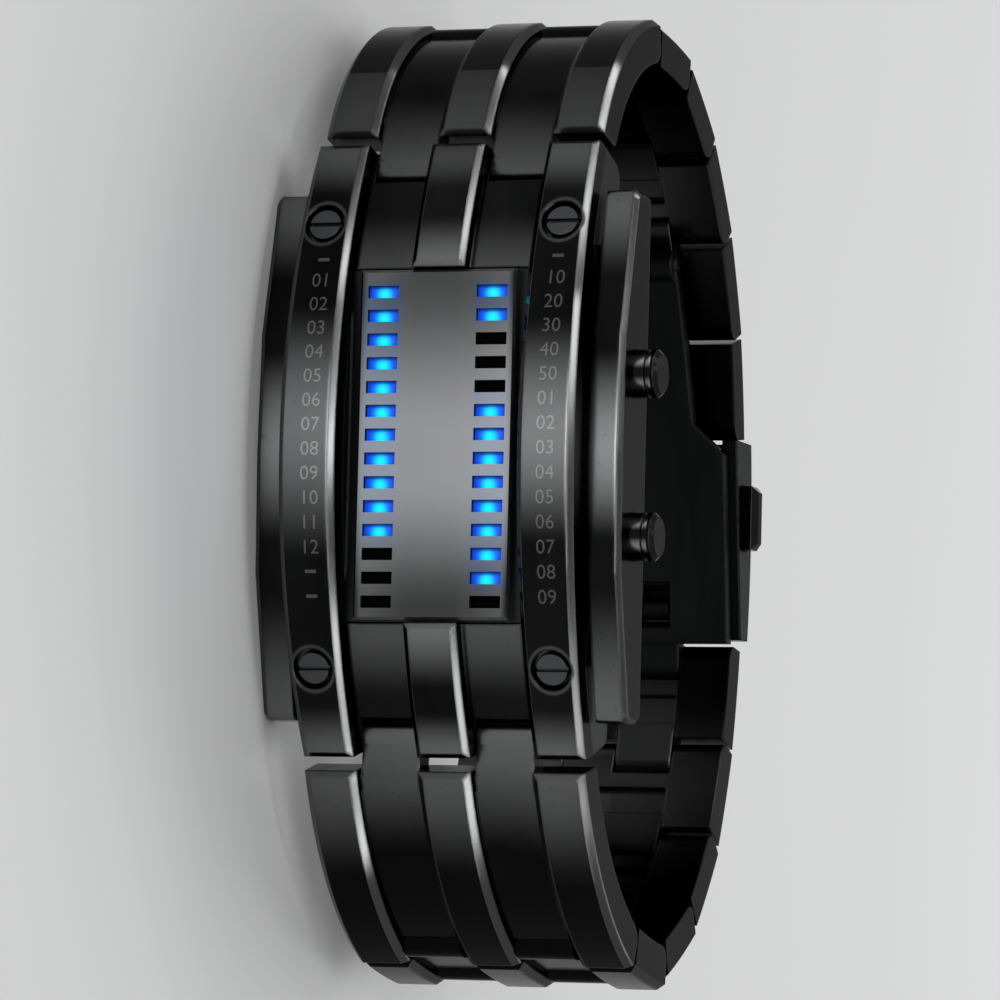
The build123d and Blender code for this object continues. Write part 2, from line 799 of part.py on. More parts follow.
def link_pin(at):
    """Pin through a link's columns and the next link's knuckles."""
    with BuildPart() as pin:
        with BuildSketch(side_view.offset(-bracelet_half_width + pin_inset + fixed_gap)):
            with Locations((at.X, at.Y)):
                Circle(pin_radius)
        extrude(amount=2 * (bracelet_half_width - pin_inset - fixed_gap))
    return pin


def spring_bars(side, tip_length):
    """Two short spring bars, one in each knuckle of an end link."""
    with BuildPart() as bars:
        for band in between_bands:
            for radius, extra in ((bar_radius, -bar_end_gap), (bar_tip_radius, tip_length)):
                with BuildSketch(side_view.offset(band[0] - extra)):
                    with Locations((-side * lug_pivot_x, lug_pivot_depth)):
                        Circle(radius)
                extrude(amount=band[1] - band[0] + 2 * extra)
    return bars


def half_bracelet(pivots, side, arch_radius, droop, name):
    """All links and pins of one half, numbered from the head."""
    for number in range(1, len(pivots)):
        near, far = pivots[number - 1], pivots[number]
        if number == 1:
            link = bracelet_link(
                near, far, side, arch_radius, droop, lug_knuckle, bar_radius + fixed_gap, head_clearance(side)
            )
        else:
            link = bracelet_link(
                near, far, side, link_arch_radius, link_droop, inner_cover, pin_radius + running_gap, None
            )
        finish(link, f"{name}_link_{number}")
        finish(link_pin(far), f"{name}_pin_{number}")


half_bracelet(upper_pivots, 1, upper_arch_radius, upper_arch_droop, "upper")
half_bracelet(lower_pivots, -1, lower_arch_radius, lower_arch_droop, "lower")
finish(spring_bars(1, bar_tip_length), "upper_spring_bars")
finish(spring_bars(-1, -2 * bar_end_gap), "lower_spring_bars")

# Folding clasp: a cover with cheeks, a middle blade and an inner blade
cover_start = upper_clasp_x + column_start
cover_end = lower_clasp_x - cover_end_gap
crown_depth = clasp_pivot_depth + cover_rise
cheek_inner = cover_half_width - cheek_thickness
hinge_near = Vector(cover_end - fold_end_setback, clasp_pivot_depth - fold_pivot_rise)
fold_link = (upper_pivots[-2] - upper_pivots[-3]).normalized()
fold_inward = Vector(fold_link.Y, -fold_link.X)
hinge_far = (
    upper_pivots[-3]
    + fold_link * (far_share * link_pitch)
    + fold_inward * (inner_cover + far_knuckle + far_clearance)
)
blade_end = Vector(lower_clasp_x - column_start, clasp_pivot_depth - blade_end_drop)
fold_start = hinge_far.X + 2 * far_knuckle
fold_stop = hinge_near.X - 2 * fold_knuckle
knuckle_inner = fold_knuckle_half_width + side_gap
clasp_button_depth = crown_depth - cover_thickness - cover_bow - running_gap - clasp_button_height / 2
hinge_bands = ((-blade_far_half_width, -knuckle_inner), (knuckle_inner, blade_far_half_width))
cover_bands = ((-fold_half_width, -knuckle_inner), (knuckle_inner, fold_half_width))


def blade_depth(x, offset=0):
    """Depth of the inner blade's middle line, or of a line this far outside it."""
    share = (x - hinge_far.X) / (blade_end.X - hinge_far.X)
    chord = hinge_far.Y + share * (blade_end.Y - hinge_far.Y)
    return chord + 4 * blade_bow * share * (1 - share) + offset


def cover_face(depth_out, depth_in, start, stop):
    """Side outline of a bowed plate; its middle is deeper than its ends by the bow."""
    with BuildSketch() as plate:
        with BuildLine():
            ThreePointArc(
                (start, depth_out - cover_bow), ((start + stop) / 2, depth_out), (stop, depth_out - cover_bow)
            )
            Line((stop, depth_out - cover_bow), (stop, depth_in - cover_bow))
            ThreePointArc(
                (stop, depth_in - cover_bow), ((start + stop) / 2, depth_in), (start, depth_in - cover_bow)
            )
            Line((start, depth_in - cover_bow), (start, depth_out - cover_bow))
        make_face()
    return plate.sketch


def blade_face(start, stop, inner, outer):
    """Side outline of a strip along the inner blade between two offsets from its middle line."""
    middle = (start + stop) / 2
    with BuildSketch() as strip:
        with BuildLine():
            ThreePointArc(
                (start, blade_depth(start, outer)),
                (middle, blade_depth(middle, outer)),
                (stop, blade_depth(stop, outer)),
            )
            Line((stop, blade_depth(stop, outer)), (stop, blade_depth(stop, inner)))
            ThreePointArc(
                (stop, blade_depth(stop, inner)),
                (middle, blade_depth(middle, inner)),
                (start, blade_depth(start, inner)),
            )
            Line((start, blade_depth(start, inner)), (start, blade_depth(start, outer)))
        make_face()
    return strip.sketch


def round_at(point, radius):
    """Round face about a side view point."""
    with BuildSketch() as disc:
        with Locations((point.X, point.Y)):
            Circle(radius)
    return disc.sketch


upper_clasp = upper_pivots[-1]
lower_clasp = lower_pivots[-1]
plate_inner = crown_depth - cover_thickness
with BuildPart() as clasp_cover:
    with BuildSketch(side_view.offset(-cover_half_width)):
        add(cover_face(crown_depth, plate_inner, cover_start, cover_end))
    extrude(amount=2 * cover_half_width)
    chamfer(clasp_cover.faces().sort_by(Axis.Y)[-1].edges(), link_bevel)
    for lateral in (-cover_half_width, cheek_inner):
        with BuildSketch(side_view.offset(lateral)):
            add(
                outline_face(
                    (cover_start, blade_depth(cover_start, blade_thickness / 2 + cheek_gap)),
                    (cover_end, blade_depth(cover_end, blade_thickness / 2 + cheek_gap)),
                    (cover_end, plate_inner - cover_bow + cover_thickness / 2),
                    (cover_start, plate_inner - cover_bow + cover_thickness / 2),
                )
            )
        extrude(amount=cheek_thickness)
    for band in between_bands:
        with BuildSketch(side_view.offset(band[0])):
            add(round_at(upper_clasp, inner_cover))
            add(
                outline_face(
                    (upper_clasp.X, upper_clasp.Y - inner_cover),
                    (cover_start + cover_thickness, plate_inner - cover_bow),
                    (cover_start + cover_thickness, plate_inner + cover_thickness / 2),
                    (upper_clasp.X, upper_clasp.Y + pivot_cover - between_drop),
                )
            )
            with Locations((upper_clasp.X, upper_clasp.Y + pivot_cover - between_drop + overrun / 2)):
                Rectangle(2 * inner_cover, overrun, mode=Mode.SUBTRACT)
        extrude(amount=band[1] - band[0])
    for band in cover_bands:
        with BuildSketch(side_view.offset(band[0])):
            add(round_at(hinge_near, fold_knuckle))
            with Locations((hinge_near.X, (hinge_near.Y + plate_inner) / 2)):
                Rectangle(2 * fold_knuckle, plate_inner - hinge_near.Y)
        extrude(amount=band[1] - band[0])
    with BuildSketch(side_view.offset(-between_outer - side_gap / 2)):
        add(round_at(upper_clasp, pin_radius + running_gap))
    extrude(amount=2 * between_outer + side_gap, mode=Mode.SUBTRACT)
    with BuildSketch(side_view.offset(-fold_half_width)):
        add(round_at(hinge_near, fold_pin + fixed_gap))
    extrude(amount=2 * fold_half_width, mode=Mode.SUBTRACT)
    with BuildSketch(side_view.offset(-cover_half_width - overrun)):
        with Locations((clasp_button_x, clasp_button_depth)):
            Rectangle(clasp_button_length + 2 * running_gap, clasp_button_height + 2 * running_gap)
    extrude(amount=cheek_thickness + overrun, mode=Mode.SUBTRACT)
    with BuildSketch(side_view.offset(cheek_inner)):
        with Locations((clasp_button_x, clasp_button_depth)):
            Rectangle(clasp_button_length + 2 * running_gap, clasp_button_height + 2 * running_gap)
    extrude(amount=cheek_thickness + overrun, mode=Mode.SUBTRACT)
finish(clasp_cover, "clasp_cover")

# Middle blade, from the cover's lower end to the far end of the inner blade
fold_inner = blade_thickness / 2 + fold_gap
fold_outer = fold_inner + fold_thickness
with BuildPart() as clasp_middle_blade:
    with BuildSketch(side_view.offset(-fold_half_width)):
        add(blade_face(fold_start, fold_stop, fold_inner, fold_outer))
    extrude(amount=2 * fold_half_width)
    with BuildSketch(side_view.offset(-fold_knuckle_half_width)):
        add(round_at(hinge_near, fold_knuckle))
        add(
            outline_face(
                (fold_stop - fold_gap, blade_depth(fold_stop, fold_inner)),
                (hinge_near.X, hinge_near.Y - fold_knuckle),
                (hinge_near.X, hinge_near.Y + fold_knuckle),
                (fold_stop - fold_gap, blade_depth(fold_stop, fold_outer)),
            )
        )
        add(round_at(hinge_far, far_knuckle))
        add(
            outline_face(
                (fold_start + fold_gap, blade_depth(fold_start, fold_inner)),
                (hinge_far.X, hinge_far.Y - far_knuckle),
                (hinge_far.X, hinge_far.Y + far_knuckle),
                (fold_start + fold_gap, blade_depth(fold_start, fold_outer)),
            )
        )
    extrude(amount=2 * fold_knuckle_half_width)
    with BuildSketch(side_view.offset(-fold_half_width)):
        add(round_at(hinge_near, fold_pin + running_gap))
        add(round_at(hinge_far, pin_radius + fixed_gap))
    extrude(amount=2 * fold_half_width, mode=Mode.SUBTRACT)
finish(clasp_middle_blade, "clasp_middle_blade")

# Inner blade, with a window for the cover's hinge, two catch posts and the last knuckles
with BuildPart() as clasp_inner_blade:
    with BuildSketch(side_view.offset(-blade_half_width)):
        add(blade_face(hinge_far.X, blade_end.X, -blade_thickness / 2, blade_thickness / 2))
    extrude(amount=2 * blade_half_width)
    with BuildSketch(depth_plane(0)):
        add(
            outline_face(
                (hinge_far.X - overrun, -blade_far_half_width),
                (cover_start - cheek_thickness, -blade_mid_half_width),
                (cover_start + cheek_thickness, -blade_half_width),
                (blade_end.X + overrun, -blade_half_width),
                (blade_end.X + overrun, blade_half_width),
                (cover_start + cheek_thickness, blade_half_width),
                (cover_start - cheek_thickness, blade_mid_half_width),
                (hinge_far.X - overrun, blade_far_half_width),
            )
        )
    extrude(amount=-(crown_depth + overrun), mode=Mode.INTERSECT)
    for band in hinge_bands:
        with BuildSketch(side_view.offset(band[0])):
            add(round_at(hinge_far, far_knuckle))
        extrude(amount=band[1] - band[0])
    for band in between_bands:
        with BuildSketch(side_view.offset(band[0])):
            add(round_at(lower_clasp, inner_cover))
            add(
                outline_face(
                    (blade_end.X - blade_thickness / 2, blade_depth(blade_end.X, -blade_thickness / 2)),
                    (lower_clasp.X, lower_clasp.Y - inner_cover),
                    (lower_clasp.X, lower_clasp.Y + pivot_cover - between_drop),
                    (blade_end.X - blade_thickness / 2, blade_depth(blade_end.X, blade_thickness / 2)),
                )
            )
            with Locations((lower_clasp.X, lower_clasp.Y + pivot_cover - between_drop + overrun / 2)):
                Rectangle(2 * inner_cover, overrun, mode=Mode.SUBTRACT)
        extrude(amount=band[1] - band[0])
    with BuildSketch(depth_plane(0)):
        with Locations(((hinge_far.X + fold_start) / 2 - far_knuckle / 2, 0)):
            Rectangle(fold_start - hinge_far.X + 2 * far_knuckle, 2 * knuckle_inner)
        with Locations(((fold_stop + hinge_near.X + fold_knuckle + blade_window_margin) / 2, 0)):
            Rectangle(
                hinge_near.X + fold_knuckle + blade_window_margin - fold_stop + 2 * fold_gap,
                2 * (fold_half_width + blade_window_margin),
            )
    extrude(amount=-(crown_depth + overrun), mode=Mode.SUBTRACT)
    with BuildSketch(depth_plane(blade_depth(clasp_button_x))):
        with Locations((clasp_button_x, -post_lateral), (clasp_button_x, post_lateral)):
            Circle(post_radius)
    extrude(amount=-(plate_inner - post_top_gap - blade_depth(clasp_button_x)))
    with BuildSketch(side_view.offset(-blade_far_half_width - overrun)):
        add(round_at(hinge_far, pin_radius + running_gap))
    extrude(amount=2 * (blade_far_half_width + overrun), mode=Mode.SUBTRACT)
    with BuildSketch(side_view.offset(-between_outer - side_gap / 2)):
        add(round_at(lower_clasp, pin_radius + running_gap))
    extrude(amount=2 * between_outer + side_gap, mode=Mode.SUBTRACT)
finish(clasp_inner_blade, "clasp_inner_blade")

with BuildPart() as clasp_near_pin:
    with BuildSketch(side_view.offset(-fold_half_width)):
        add(round_at(hinge_near, fold_pin))
    extrude(amount=2 * fold_half_width)
finish(clasp_near_pin, "clasp_near_pin")
with BuildPart() as clasp_far_pin:
    with BuildSketch(side_view.offset(-blade_far_half_width)):
        add(round_at(hinge_far, pin_radius))
    extrude(amount=2 * blade_far_half_width)
finish(clasp_far_pin, "clasp_far_pin")

# Side buttons of the clasp, held inside the cheeks by a flange
flange_outer = cheek_inner - running_gap
with BuildPart() as clasp_right_button:
    with BuildSketch(side_view.offset(flange_outer - clasp_flange)):
        with Locations((clasp_button_x, clasp_button_depth)):
            Rectangle(clasp_button_length, clasp_button_height)
    extrude(amount=clasp_button_end - flange_outer + clasp_flange)
    chamfer(clasp_right_button.faces().sort_by(Axis.Z)[-1].edges(), clasp_button_round)
    with BuildSketch(side_view.offset(flange_outer - clasp_flange)):
        with Locations((clasp_button_x, clasp_button_depth)):
            Rectangle(clasp_button_length + 2 * clasp_flange, clasp_button_height)
    extrude(amount=clasp_flange)
finish(clasp_right_button, "clasp_right_button")
clasp_left_button = mirrored(clasp_right_button)
finish(clasp_left_button, "clasp_left_button")
with BuildPart() as clasp_springs:
    leaf = flange_outer - clasp_flange - clasp_button_travel - contact_gap
    with BuildSketch(depth_plane(clasp_button_depth)):
        with GridLocations(0, 2 * leaf - contact_thickness, 1, 2):
            with Locations((clasp_button_x, 0)):
                Rectangle(clasp_button_length / 2, contact_thickness)
    extrude(amount=-(clasp_button_height / 2 + running_gap))
finish(clasp_springs, "clasp_springs")
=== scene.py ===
from math import cos, radians, sin

import bpy
import numpy as np
from mathutils import Matrix, Vector


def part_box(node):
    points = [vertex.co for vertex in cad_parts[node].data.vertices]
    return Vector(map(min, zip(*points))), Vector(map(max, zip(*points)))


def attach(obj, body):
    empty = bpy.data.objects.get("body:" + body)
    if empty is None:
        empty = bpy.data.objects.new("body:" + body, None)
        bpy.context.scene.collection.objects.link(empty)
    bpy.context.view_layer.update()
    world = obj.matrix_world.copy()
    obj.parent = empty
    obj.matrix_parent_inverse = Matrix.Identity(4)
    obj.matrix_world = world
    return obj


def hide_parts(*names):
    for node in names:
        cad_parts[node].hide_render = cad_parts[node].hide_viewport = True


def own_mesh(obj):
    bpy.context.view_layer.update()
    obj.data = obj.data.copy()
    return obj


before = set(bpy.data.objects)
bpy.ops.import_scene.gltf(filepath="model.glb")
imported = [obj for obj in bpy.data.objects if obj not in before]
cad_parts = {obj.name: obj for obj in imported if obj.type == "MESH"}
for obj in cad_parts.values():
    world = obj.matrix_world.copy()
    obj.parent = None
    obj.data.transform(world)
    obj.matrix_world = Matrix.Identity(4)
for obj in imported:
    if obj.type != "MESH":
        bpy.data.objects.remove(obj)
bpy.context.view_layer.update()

# Binary watch in a black coated steel case, lying on its left side in the part's own frame:
# X along the strap towards the lower half, Y from the dial to the wrist, Z across the strap.
# Blender's lengths are in metres, so each size is a number of millimetres times MM. Places
# in the black steel's bands are plain millimetres.
MM = 0.001
MIDDLE = 13.7 * MM
CREST = 6.2 * MM
RAIL_RADIUS = 45.0 * MM
RAIL_MIDDLE = 8.9 * MM
ROW_PITCH = 1.703 * MM
ROW_SHIFT = 0.15 * MM
FIGURE_PITCH = 1.743 * MM
FIGURE_SHIFT = -0.42 * MM
FIGURES_ASIDE = {-1: 0.35 * MM, 1: 0.1 * MM}
ROWS = 14
COLUMN = 4.07 * MM
COLUMN_EDGE = 2.05 * MM
OUTER_COLUMN_EDGE = 6.55 * MM
SCREW_ALONG = 16.0 * MM
RECESS_RIM = 1.58 * MM
RECESS_GLOW = 0.22 * MM
SPRING_WIRE = 0.11 * MM
SPRING_TURNS = 3
COIL_STEPS = 96
WIRE_SIDES = 10
WINDOW_HALF_WIDTH = 1.15 * MM
WINDOW_HALF_HEIGHT = 0.44 * MM
WINDOW_DEPTH = 0.42 * MM
PLATE_BEVEL = 0.2 * MM
PLATE_HALF_WIDTH = 5.84 * MM
PLATE_HALF_LENGTH = 12.5 * MM
LENS_RISE = 0.14 * MM
LENS_STEPS = 8
FIGURE_HEIGHT = 1.42 * MM
FIGURE_RISE = 0.012 * MM
MARK_HALF_LENGTH = 0.12 * MM
MARK_HALF_WIDTH = 0.42 * MM
FLOOR_RADIUS = 4.0
FLOOR_DROP = 0.00002
FLOOR_SIDES = 96
LIT_RIGHT_ROWS = [0, 1, 5, 6, 7, 8, 9, 10, 11, 12]
LIT_LEFT_ROWS = 11


# Materials


class Socket:
    """A shader value; an expression on it adds the Math nodes that work it out."""

    def __init__(self, nodes, socket):
        self.nodes = nodes
        self.socket = socket

    def _math(self, operation, *values):
        return self.nodes.node("ShaderNodeMath", {"operation": operation}, dict(enumerate(values)))

    def __add__(self, other):
        return self._math("ADD", self, other)

    __radd__ = __add__

    def __sub__(self, other):
        return self._math("SUBTRACT", self, other)

    def __rsub__(self, other):
        return self._math("SUBTRACT", other, self)

    def __mul__(self, other):
        return self._math("MULTIPLY", self, other)

    __rmul__ = __mul__

    def __truediv__(self, other):
        return self._math("DIVIDE", self, other)

    def __pow__(self, other):
        return self._math("POWER", self, other)

    def __abs__(self):
        return self._math("ABSOLUTE", self)

    def over(self, edge):
        """One where the value is larger than the edge, and nothing elsewhere."""
        return self._math("GREATER_THAN", self, edge)

    def under(self, edge):
        """One where the value is smaller than the edge, and nothing elsewhere."""
        return self._math("LESS_THAN", self, edge)

    def clamp(self):
        return self._math("MINIMUM", self._math("MAXIMUM", self, 0.0), 1.0)

    def ramp(self, low, high):
        """Smooth step from nothing at the low value to one at the high value."""
        return self.nodes.node(
            "ShaderNodeMapRange",
            {"interpolation_type": "SMOOTHSTEP", "clamp": True},
            {"Value": self, "From Min": low, "From Max": high, "To Min": 0.0, "To Max": 1.0},
        )


class Material:
    """A material made of one glossy shader and the nodes that lead into it."""

    def __init__(self, name, **constants):
        self.material = bpy.data.materials.new(name)
        self.material.use_nodes = True
        self.tree = self.material.node_tree
        self.shader = self.tree.nodes["Principled BSDF"]
        for socket, value in constants.items():
            self.shader.inputs[socket.replace("_", " ")].default_value = value
        self.place = self.node("ShaderNodeTexCoord", {}, {}, output="Object")

    def node(self, kind, settings, values, output=0):
        """Adds a node, gives it its settings, then its socket values or links."""
        node = self.tree.nodes.new(kind)
        for name, value in settings.items():
            setattr(node, name, value)
        for key, value in values.items():
            if isinstance(value, Socket):
                self.tree.links.new(value.socket, node.inputs[key])
            else:
                node.inputs[key].default_value = value
        return Socket(self, node.outputs[output])

    def drive(self, **links):
        """Leads each value into the shader's socket of that name."""
        for name, value in links.items():
            self.tree.links.new(value.socket, self.shader.inputs[name.replace("_", " ")])

    def axes(self, vector=None):
        """The three coordinates of a place, in metres."""
        split = self.tree.nodes.new("ShaderNodeSeparateXYZ")
        self.tree.links.new((vector or self.place).socket, split.inputs[0])
        return [Socket(self, split.outputs[axis]) for axis in "XYZ"]

    def facing(self):
        """The three parts of the true face direction."""
        normal = self.node("ShaderNodeNewGeometry", {}, {}, output="True Normal")
        return self.axes(normal)

    def noise(self, scale, stretch=(1.0, 1.0, 1.0), detail=3.0, roughness=0.5):
        """Cloudy value round one half; the stretch squeezes it along each axis."""
        place = self.node(
            "ShaderNodeMapping", {}, {"Vector": self.place, "Scale": stretch}
        )
        return self.node(
            "ShaderNodeTexNoise",
            {},
            {"Vector": place, "Scale": scale, "Detail": detail, "Roughness": roughness},
            output="Fac",
        )

    def mix(self, factor, first, second):
        """Colour between two colours."""
        blend = self.tree.nodes.new("ShaderNodeMix")
        blend.data_type = "RGBA"
        for key, value in ((0, factor), (6, first), (7, second)):
            if isinstance(value, Socket):
                self.tree.links.new(value.socket, blend.inputs[key])
            else:
                blend.inputs[key].default_value = value
        return Socket(self, blend.outputs[2])

    def bump(self, height, distance, rounding=0.0):
        """Leads a height into the shader's normal, with every edge rounded off if asked."""
        values = {"Height": height, "Distance": distance, "Strength": 1.0}
        if rounding:
            values["Normal"] = self.node("ShaderNodeBevel", {"samples": 4}, {"Radius": rounding})
        self.drive(Normal=self.node("ShaderNodeBump", {}, values, output="Normal"))


def grey(value, tint=0.0):
    """Colour with a cold tint, as a shader wants it."""
    return (value * (1 - tint), value, value * (1 + tint), 1.0)


def black_steel(
    name,
    base,
    bevel,
    roughness,
    brushed=0.0,
    wear=0.4,
    pale=(),
    fields=None,
    brinks=(-60.0, 60.0),
    rings=(),
    recesses=(),
    rounding=0.3,
):
    """Black coated steel: dark faces, polished bevels along the strap, faint smears.

    A face counts as a bevel where the strap's cross direction takes between 0.5 and 0.87 of
    its face direction, and as a side above that. Smears are cloudy noise, stretched along the
    strap, added to roughness. A reflection is painted in as paler bands along the strap: a
    band is a smooth rise to its middle and a smooth fall after it, given as (middle, half
    width, gain) in millimetres. The sunk fields between the raised columns can have painted
    bands of their own. Past the brinks, places along the strap, and on the side faces the
    painted reflection is mostly left off and it is dark. Rings are turned grooves, dark lines
    across the painted reflection at places across the strap. A recess is rimmed by a painted
    highlight, a soft pale ring round its centre, given by a place along and one across. All
    edges are shaded as if rounded off.
    """
    steel = Material(
        name,
        Metallic=1.0,
        Coat_Weight=0.05,
        Coat_Roughness=0.06,
        Coat_IOR=1.5,
        Specular_Tint=grey(0.6),
    )
    across = abs(steel.facing()[2])
    edge = across.over(0.5) * across.under(0.87)
    side = across.over(0.87)
    smears = steel.noise(120.0, (0.35, 1.0, 1.0), detail=5.0)
    grain = steel.noise(900.0, (0.04, 1.0, 1.0), detail=2.0)
    specks = steel.noise(2600.0, detail=2.0).ramp(0.68, 0.78)
    drift = steel.noise(38.0, (1.0, 1.0, 0.5), detail=1.0)
    x, _, z = steel.axes()
    along = x + (drift - 0.5) * (2.5 * MM)

    # Painted reflection: pale bands along the strap, over faint random smears.
    def bands(places):
        paleness = (smears - 0.4).clamp() * 0.07
        for middle, half_width, gain in places:
            away = abs(along - middle * MM) / (half_width * MM)
            paleness = paleness + (1 - away.ramp(0.0, 1.0)) * gain
        return paleness.clamp()

    painted_sheen = bands(pale)
    if fields is not None:
        aside = abs(z - MIDDLE)
        sunk = aside.over(COLUMN_EDGE) * aside.under(OUTER_COLUMN_EDGE)
        painted_sheen = painted_sheen * (1 - sunk) + bands(fields) * sunk
    # Past the brinks and on the side faces the painted reflection is mostly taken away.
    upper_brink, lower_brink = brinks
    past = x.under(upper_brink * MM) + x.over(lower_brink * MM)
    painted_sheen = painted_sheen * (1 - past * 0.8) * (1 - side * 0.97)
    # Each groove cuts a dark line through the painted reflection.
    for place in rings:
        painted_sheen = painted_sheen * abs(z - place * MM).ramp(0.06 * MM, 0.14 * MM)
    # Painted highlight: a soft pale ring round each recess's rim.
    for centre_along, centre_across in recesses:
        aside_x, aside_z = x - centre_along, z - centre_across
        reach = (aside_x * aside_x + aside_z * aside_z) ** 0.5
        away = abs(reach - RECESS_RIM) / RECESS_GLOW
        painted_sheen = painted_sheen + (1 - away.ramp(0.0, 1.0)) * 0.16
    # Base colour paled by the painted reflection, then speckled by wear.
    shade = steel.mix(painted_sheen.clamp(), grey(base, 0.05), grey(0.42, 0.01))
    sheen_and_wear = steel.mix(specks * wear, shade, grey(base * 2.4, 0.02))
    steel.drive(
        Base_Color=steel.mix(edge, sheen_and_wear, grey(bevel, 0.01)),
        Roughness=(smears * 0.12 + grain * (0.05 + brushed) + roughness) * (1 - edge * 0.45),
    )
    steel.bump(grain * (0.3 + brushed * 4) + smears, 0.004 * MM, rounding * MM)
    return steel.material


def bare_steel(name, base, roughness, direction=(0.04, 1.0, 1.0)):
    """Uncoated steel with fine brush lines; the lines are noise squeezed along one axis."""
    steel = Material(name, Metallic=1.0)
    lines = steel.noise(1400.0, direction, detail=4.0)
    cloud = steel.noise(90.0, detail=4.0)
    steel.drive(
        Base_Color=steel.mix(lines, grey(base * 0.8), grey(base * 1.1)),
        Roughness=cloud * 0.12 + lines * 0.15 + roughness,
    )
    steel.bump(lines, 0.006 * MM)
    return steel.material


def plate_material():
    """Grey mirror film under the glass, cloudy at a large scale.

    Painted reflection: darker to its short ends, paler towards its long edges and dark in a
    narrow margin along them, and darker with a painted blue glow beside the lit windows.
    """
    plate = Material(
        "grey_mirror", Metallic=1.0, Coat_Weight=0.6, Coat_Roughness=0.02, Emission_Strength=1.0
    )
    x, _, z = plate.axes()
    cloud = plate.noise(60.0, detail=3.0)
    grain = plate.noise(1500.0, (0.05, 1.0, 1.0))
    # Painted shade: darker to both short ends, paler across towards the long edges, and a dark
    # margin along them.
    painted_end_shade = (x / -PLATE_HALF_LENGTH).ramp(0.0, 0.95) * 0.93 + (x / PLATE_HALF_LENGTH).ramp(0.15, 0.95)
    side = (abs(z - MIDDLE) / PLATE_HALF_WIDTH).ramp(0.2, 1.1)
    painted_edge_shade = (abs(z - MIDDLE) / PLATE_HALF_WIDTH).ramp(0.88, 1.0)
    # Painted blue glow on the film beside the lit windows.
    near_column = 1 - (abs(abs(z - MIDDLE) - COLUMN) / (1.8 * MM)).ramp(0.5, 1.0)
    lit_left = z.under(MIDDLE) * (1 - x.ramp(6.0 * MM, 8.5 * MM))
    upper_rows = 1 - x.ramp(-9.5 * MM, -8.0 * MM)
    lower_rows = x.ramp(-5.0 * MM, -3.5 * MM) * (1 - x.ramp(9.5 * MM, 11.0 * MM))
    lit_right = z.over(MIDDLE) * (upper_rows + lower_rows)
    painted_glow = near_column * (lit_left + lit_right) * x.ramp(-12.1 * MM, -11.0 * MM)
    painted_shade_and_cloud = (painted_end_shade * 0.95 - side * 0.2 + painted_edge_shade * 0.4 + painted_glow * 0.1 + (cloud - 0.5) * 0.12).clamp()
    plate.drive(
        Base_Color=plate.mix(painted_shade_and_cloud, grey(0.5, 0.012), grey(0.03, 0.03)),
        Roughness=grain * 0.02 + cloud * 0.06 + 0.22,
        Emission_Color=plate.mix(painted_glow, (0.0, 0.0, 0.0, 1.0), (0.0, 0.028, 0.085, 1.0)),
    )
    return plate.material


def rim_material():
    """Clear bevelled edge of the glass, seen as a bright line with darker flecks."""
    rim = Material("glass_edge", Metallic=0.8, Coat_Weight=0.5, Coat_Roughness=0.05)
    flecks = rim.noise(700.0, (1.0, 1.0, 1.0), detail=4.0)
    rim.drive(Base_Color=rim.mix(flecks, grey(0.02), grey(0.08)), Roughness=flecks * 0.2 + 0.25)
    return rim.material


def glow_material():
    """Light of a lit window: a cyan heart low in the window, blue round it, with painted shade at
    its upper edge.

    The window's own map runs from -1 to 1 both ways. The heart is a smooth step of the
    distance from a point below the middle. Painted shade of the opening's wall darkens the
    light towards the upper edge, and the light dims a little towards the sides.
    """
    glow = Material("window_light", Roughness=0.5, Emission_Strength=1.0)
    own = glow.node("ShaderNodeUVMap", {"uv_map": "window"}, {})
    u, v, _ = glow.axes(own)
    reach = (u * u * 2.1 + abs(v + 0.6) ** 2.0 * 0.22) ** 0.5
    heart = 1 - reach.ramp(0.12, 0.95)
    # Painted shade of the opening's wall over the window's upper edge.
    rim = 1 - v.ramp(0.25, 1.0) * 0.85
    side = 1 - abs(u).ramp(0.6, 1.0) * 0.4
    grain = glow.noise(4000.0) * 0.1 + 0.95
    body = glow.mix(reach.ramp(0.4, 1.3), (0.0, 0.2, 1.0, 1.0), (0.0, 0.06, 0.75, 1.0))
    lit = glow.mix(heart, body, (0.0, 0.92, 1.0, 1.0))
    glow_with_painted_shade = glow.mix(rim * side * grain, (0.0, 0.01, 0.12, 1.0), lit)
    # The painted shade at the upper edge dims both the light and the base colour.
    glow.drive(
        Base_Color=glow.mix(rim, (0.0, 0.01, 0.05, 1.0), (0.0, 0.05, 0.2, 1.0)),
        Emission_Color=glow_with_painted_shade,
    )
    return glow.material


def dark_plastic(name, base, roughness, tint=0.05, gloss=0.5):
    """Moulded black plastic with a fine grained skin."""
    plastic = Material(name, Specular_IOR_Level=gloss)
    grain = plastic.noise(2200.0, detail=3.0)
    cloud = plastic.noise(150.0)
    plastic.drive(
        Base_Color=plastic.mix(cloud, grey(base * 0.8, tint), grey(base * 1.25, tint)),
        Roughness=grain * 0.2 + roughness,
    )
    plastic.bump(grain, 0.01 * MM)
    return plastic.material


def etched_material(name, light):
    """Etched figures: a dull pale grey, a little uneven, with a painted highlight where the rail's
    painted reflection band lies.
    """
    etched = Material(name)
    cloud = etched.noise(1100.0, detail=4.0)
    middle, half_width, gain = light
    along = etched.axes()[0]
    # Painted highlight that follows the rail's painted reflection band.
    paler = (1 - (abs(along - middle * MM) / (half_width * MM)).ramp(0.0, 1.0)) * gain
    dull = etched.mix(cloud, grey(0.045), grey(0.08))
    etched.drive(Base_Color=etched.mix(paler, dull, grey(0.6)), Roughness=cloud * 0.2 + 0.5)
    return etched.material


